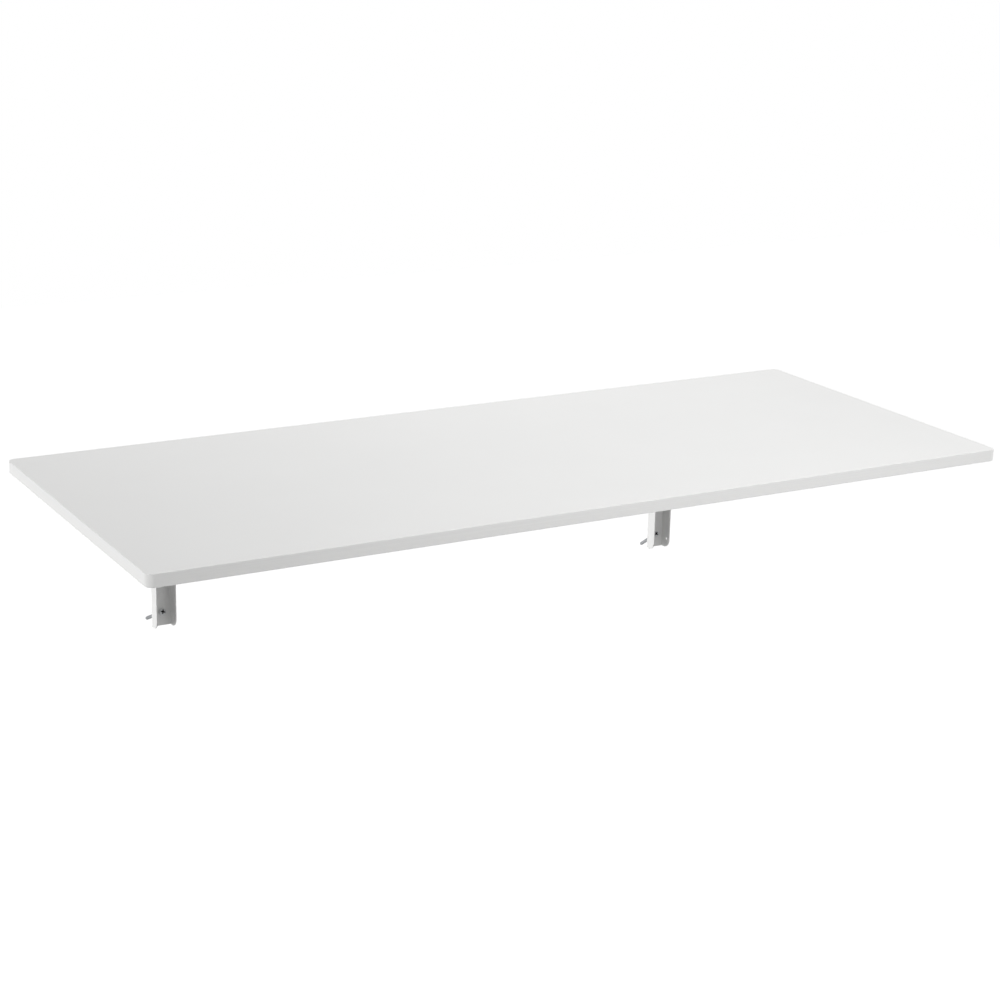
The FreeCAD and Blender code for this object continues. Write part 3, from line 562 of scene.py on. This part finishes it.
class TABLE_OT_wall_screws(bpy.types.Operator):
    """Model the two threaded wall screws that hang in the legs' lowest holes"""
    bl_idname = "table.wall_screws"
    bl_label = "Model Wall Screws"

    def execute(self, context):
        sizes = context.scene.table_screws
        finish = context.scene.table_finishes
        plated = dull_zinc_plated_steel(finish)
        shaded_thread = shaded_thread_steel(finish)
        shaded_recess = painted_shade_recess(finish)
        for side, turn in (("left", sizes.left_turn), ("right", sizes.right_turn)):
            solid = side + "_wall_screw"
            tip, axis = screw_line(solid)
            mesh = closed_mesh(side + "_hanging_screw", screw_rows(sizes),
                               Vector((0, 0, -sizes.head_height)), Vector((0, 0, sizes.shank)))
            mesh.materials.append(plated)
            # The thread takes the darker painted shade
            mesh.materials.append(shaded_thread)
            for face in mesh.polygons:
                face.material_index = int(face.center.z > sizes.neck)
            screw = bpy.data.objects.new(side + "_hanging_screw", mesh)
            context.scene.collection.objects.link(screw)
            # The cross recesses take the nearly black painted shade
            carve(screw, [recess_blade(sizes, turn + quarter, shaded_recess) for quarter in (0, math.pi / 2)])
            screw.data.polygons.foreach_set("use_smooth", [True] * len(screw.data.polygons))
            screw.data.set_sharp_from_angle(angle=SHARP_ANGLE)
            seat = tip - axis * sizes.shank
            turned = axis.to_track_quat("Z", "Y").to_matrix().to_4x4()
            screw.data.transform(Matrix.Translation(seat) @ turned)
            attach(screw, "wall_frame")
            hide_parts(solid)
        return {"FINISHED"}


def spring_line(sizes, stud, tip, radius):
    """Middle line of a leaf spring, in a plane square to the wall.

    It goes round the rolled eye on the stud, then along the bowed leaf to the tip on the lever.
    """
    reach = tip - stud
    leave = math.atan2(reach.y, reach.x) + math.acos(radius / reach.length)
    root = stud + radius * Vector((math.cos(leave), math.sin(leave)))
    leaf = tip - root
    above = Vector((-leaf.y, leaf.x)).normalized()
    line = []
    for step in range(EYE_STEPS):
        turn = leave + sizes.wrap * (1 - step / EYE_STEPS)
        line.append(stud + radius * Vector((math.cos(turn), math.sin(turn))))
    for step in range(LEAF_STEPS + 1):
        share = step / LEAF_STEPS
        line.append(root + leaf * share + above * sizes.bow * math.sin(math.pi * share) ** 2)
    return line


def strip_rows(line, low, high, sizes):
    """Rings of points round a strip that follows a line, with its long edges broken."""
    half = sizes.sheet / 2
    flat = half - sizes.edge
    section = [(half, low + sizes.edge), (flat, low), (-flat, low), (-half, low + sizes.edge),
               (-half, high - sizes.edge), (-flat, high), (flat, high), (half, high - sizes.edge)]
    rows = []
    for index, point in enumerate(line):
        ahead = line[min(index + 1, len(line) - 1)] - line[max(index - 1, 0)]
        across = Vector((-ahead.y, ahead.x)).normalized()
        rows.append([Vector((x, *(point + across * offset))) for offset, x in section])
    return rows


class TABLE_OT_leaf_springs(bpy.types.Operator):
    """Model the bowed leaf springs that press on the release levers"""
    bl_idname = "table.leaf_springs"
    bl_label = "Model Leaf Springs"

    def execute(self, context):
        sizes = context.scene.table_springs
        steel = tempered_spring_steel(context.scene.table_finishes)
        for side in SIDES:
            solid = side + "_lever_spring"
            low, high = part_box(solid)
            stud_low, stud_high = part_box(side + "_spring_stud")
            stud = (Vector(stud_low) + Vector(stud_high)).yz / 2
            tip = Vector((high[1], low[2] + sizes.sheet / 2))
            line = spring_line(sizes, stud, tip, stud.x - low[1] - sizes.sheet / 2)
            ends = [Vector(((low[0] + high[0]) / 2, *end)) for end in (line[0], line[-1])]
            mesh = closed_mesh(side + "_leaf_spring", strip_rows(line, low[0], high[0], sizes), *ends)
            mesh.materials.append(steel)
            mesh.polygons.foreach_set("use_smooth", [True] * len(mesh.polygons))
            mesh.set_sharp_from_angle(angle=SHARP_ANGLE)
            spring = bpy.data.objects.new(side + "_leaf_spring", mesh)
            context.scene.collection.objects.link(spring)
            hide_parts(solid)
            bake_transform(spring)
        return {"FINISHED"}


class TABLE_OT_board(bpy.types.Operator):
    """Finish the tabletop's core, laminates and edge band"""
    bl_idname = "table.board"
    bl_label = "Finish Tabletop"

    def execute(self, context):
        finish = context.scene.table_finishes
        dress(["tabletop_core"], pressed_chipboard(finish))
        dress(["top_laminate", "underside_laminate"], satin_pressed_melamine(finish))
        dress(["edge_band"], extruded_abs_band(finish))
        return {"FINISHED"}


class TABLE_OT_brackets(bpy.types.Operator):
    """Finish the coated legs, arms, braces and release levers"""
    bl_idname = "table.brackets"
    bl_label = "Finish Brackets"

    def execute(self, context):
        coated = powder_coated_steel(context.scene.table_finishes)
        dress(both("wall_leg", "arm", "brace"), coated)
        dress(both("release_lever"), coated)
        return {"FINISHED"}


class TABLE_OT_bearings(bpy.types.Operator):
    """Finish the nylon washers and rollers"""
    bl_idname = "table.bearings"
    bl_label = "Finish Washers and Rollers"

    def execute(self, context):
        nylon = moulded_nylon(context.scene.table_finishes)
        dress(both("corner_washers", "brace_washers", "guide_rollers"), nylon)
        return {"FINISHED"}


class TABLE_OT_fasteners(bpy.types.Operator):
    """Finish the plated pins, keepers, rivets, studs and screws"""
    bl_idname = "table.fasteners"
    bl_label = "Finish Fasteners"

    def execute(self, context):
        finish = context.scene.table_finishes
        plated = both("corner_pin", "brace_pin", "guide_pin", "guide_keepers", "arm_screws", "wall_screw",
                      "lever_rivet", "spring_stud")
        dress(plated, zinc_plated_steel(finish))
        return {"FINISHED"}


def light(name, kind, place, towards, **settings):
    """Hang a lamp at a place and point it. Glossy surfaces don't mirror it, so it leaves no glare."""
    lamp = bpy.data.lights.new(name, kind)
    for setting, value in settings.items():
        setattr(lamp, setting, value)
    hung = bpy.data.objects.new(name, lamp)
    hung.visible_camera = False
    hung.visible_glossy = False
    hung.location = place
    hung.rotation_euler = (Vector(towards) - Vector(place)).to_track_quat("-Z", "Y").to_euler()
    bpy.context.scene.collection.objects.link(hung)


def seen_directly(tree):
    """A number that is 1 for what the eye sees, also mirrored or through glass, and 0 for other rays."""
    path = node(tree, "LightPath")
    mirrored = node(tree, "Math", {0: path.outputs["Is Camera Ray"], 1: path.outputs["Is Glossy Ray"]})
    through = node(tree, "Math", {0: mirrored.outputs[0], 1: path.outputs["Is Transmission Ray"]},
                   use_clamp=True)
    return through.outputs[0]


def make_world(studio):
    """White all round for the eye, and an even soft light on the table."""
    world = bpy.data.worlds.new("white_studio")
    bpy.context.scene.world = world
    world.use_nodes = True
    tree = world.node_tree
    tree.nodes.clear()
    heading = node(tree, "SeparateXYZ", {0: node(tree, "TexCoord").outputs["Generated"]})
    level = node(tree, "MapRange", {"Value": heading.outputs["Z"],
                                    "From Min": FILL_LOW, "From Max": FILL_HIGH,
                                    "To Min": studio.fill_below, "To Max": studio.fill_above})
    fill = node(tree, "Background", {"Color": (1, 1, 1, 1), "Strength": level.outputs[0]})
    white = node(tree, "Background", {"Color": (1, 1, 1, 1), "Strength": 1})
    shown = node(tree, "MixShader", {0: seen_directly(tree), 1: fill.outputs[0], 2: white.outputs[0]})
    node(tree, "OutputWorld", {"Surface": shown.outputs[0]})


def make_floor(studio):
    """Pale floor well below the table, which takes its shadow. Its rolled paint is matt and even."""
    mesh = bpy.data.meshes.new("floor")
    form = bmesh.new()
    bmesh.ops.create_grid(form, x_segments=1, y_segments=1, size=studio.floor_half)
    form.to_mesh(mesh)
    form.free()
    floor = bpy.data.objects.new("floor", mesh)
    floor.location.z = -studio.floor_drop
    bpy.context.scene.collection.objects.link(floor)
    material, tree, surface = new_material("rolled_floor_paint", {"Base Color": rgba(studio.floor_white),
                                                                  "Roughness": 0.8})
    glow = node(tree, "Emission", {"Color": (1, 1, 1, 1), "Strength": studio.floor_glow})
    lit = node(tree, "AddShader", {0: surface.outputs[0], 1: glow.outputs[0]})
    shown = node(tree, "MixShader", {0: seen_directly(tree), 1: surface.outputs[0], 2: lit.outputs[0]})
    # From below the floor is left out, so that the brackets under the board can be seen
    below = node(tree, "NewGeometry").outputs["Backfacing"]
    clear = node(tree, "BsdfTransparent")
    from_above = node(tree, "MixShader", {0: below, 1: shown.outputs[0], 2: clear.outputs[0]})
    tree.links.new(from_above.outputs[0], tree.nodes["Material Output"].inputs["Surface"])
    mesh.materials.append(material)


class TABLE_OT_studio(bpy.types.Operator):
    """Set up the floor, the white surroundings, the lights and the camera"""
    bl_idname = "table.studio"
    bl_label = "Set Up Studio"

    def execute(self, context):
        studio = context.scene.table_studio
        make_world(studio)
        make_floor(studio)
        # Places and sizes in metres, from the middle of the wall holes
        light("side_light", "SUN", place=(-3, 0.3, 0.2), towards=(0, 0, 0.1), energy=studio.side_light,
              angle=math.radians(20))
        light("end_light", "SUN", place=(3, 0, 0.1), towards=(0, 0, 0.1), energy=studio.end_light,
              angle=math.radians(10))
        box = {"shape": "RECTANGLE", "size": 1.1, "size_y": 0.4}
        light("front_light", "AREA", place=(0.35, -1.75, 0.95), towards=(0.3, -0.5, 0.13),
              energy=studio.front_light, **box)
        light("low_light", "AREA", place=(0.6, -2, 0.35), towards=(0.3, -0.5, 0.1),
              energy=studio.low_light, **box)
        disk = {"shape": "DISK", "size": 0.9}
        light("right_light", "AREA", place=(0.6, 0.35, 1.6), towards=(0.6, 0, 0.14),
              energy=studio.right_light, **disk)
        light("back_light", "AREA", place=(-0.1, 0.6, 1.9), towards=(-0.1, 0, 0.14),
              energy=studio.back_light, **disk)
        lens = bpy.data.cameras.new("camera")
        lens.lens = studio.lens
        camera = bpy.data.objects.new("camera", lens)
        aim = Matrix.Rotation(-studio.yaw, 4, "Z") @ Matrix.Rotation(math.pi / 2 - studio.pitch, 4, "X")
        camera.matrix_world = (Matrix.Translation(studio.camera_place) @ aim
                               @ Matrix.Rotation(studio.roll, 4, "Z"))
        context.scene.collection.objects.link(camera)
        context.scene.camera = camera
        context.scene.view_settings.view_transform = "Standard"
        return {"FINISHED"}


class TABLE_PT_looks(bpy.types.Panel):
    """Lists the table's pieces, finishes and studio"""
    bl_label = "Drop Leaf Table"
    bl_space_type = "VIEW_3D"
    bl_region_type = "UI"
    bl_category = "Table"

    def draw(self, context):
        for operator in OPERATORS:
            self.layout.operator(operator.bl_idname)
        for name, kind in GROUPS.items():
            box = self.layout.box()
            for setting in kind.__annotations__:
                box.prop(getattr(context.scene, name), setting)


GROUPS = {"table_finishes": TableFinishes, "table_screws": WallScrewSizes, "table_springs": LeafSpringSizes,
          "table_studio": Studio}
OPERATORS = (TABLE_OT_board, TABLE_OT_brackets, TABLE_OT_bearings, TABLE_OT_fasteners, TABLE_OT_wall_screws,
             TABLE_OT_leaf_springs, TABLE_OT_studio)


def register():
    for name, group in GROUPS.items():
        bpy.utils.register_class(group)
        setattr(bpy.types.Scene, name, bpy.props.PointerProperty(type=group))
    for operator in OPERATORS:
        bpy.utils.register_class(operator)
    bpy.utils.register_class(TABLE_PT_looks)


def unregister():
    bpy.utils.unregister_class(TABLE_PT_looks)
    for operator in reversed(OPERATORS):
        bpy.utils.unregister_class(operator)
    for name, group in GROUPS.items():
        delattr(bpy.types.Scene, name)
        bpy.utils.unregister_class(group)


def main():
    """Build the looks in order."""
    register()
    bpy.ops.table.board()
    bpy.ops.table.brackets()
    bpy.ops.table.bearings()
    bpy.ops.table.fasteners()
    bpy.ops.table.wall_screws()
    bpy.ops.table.leaf_springs()
    bpy.ops.table.studio()


if __name__ == "__main__":
    main()
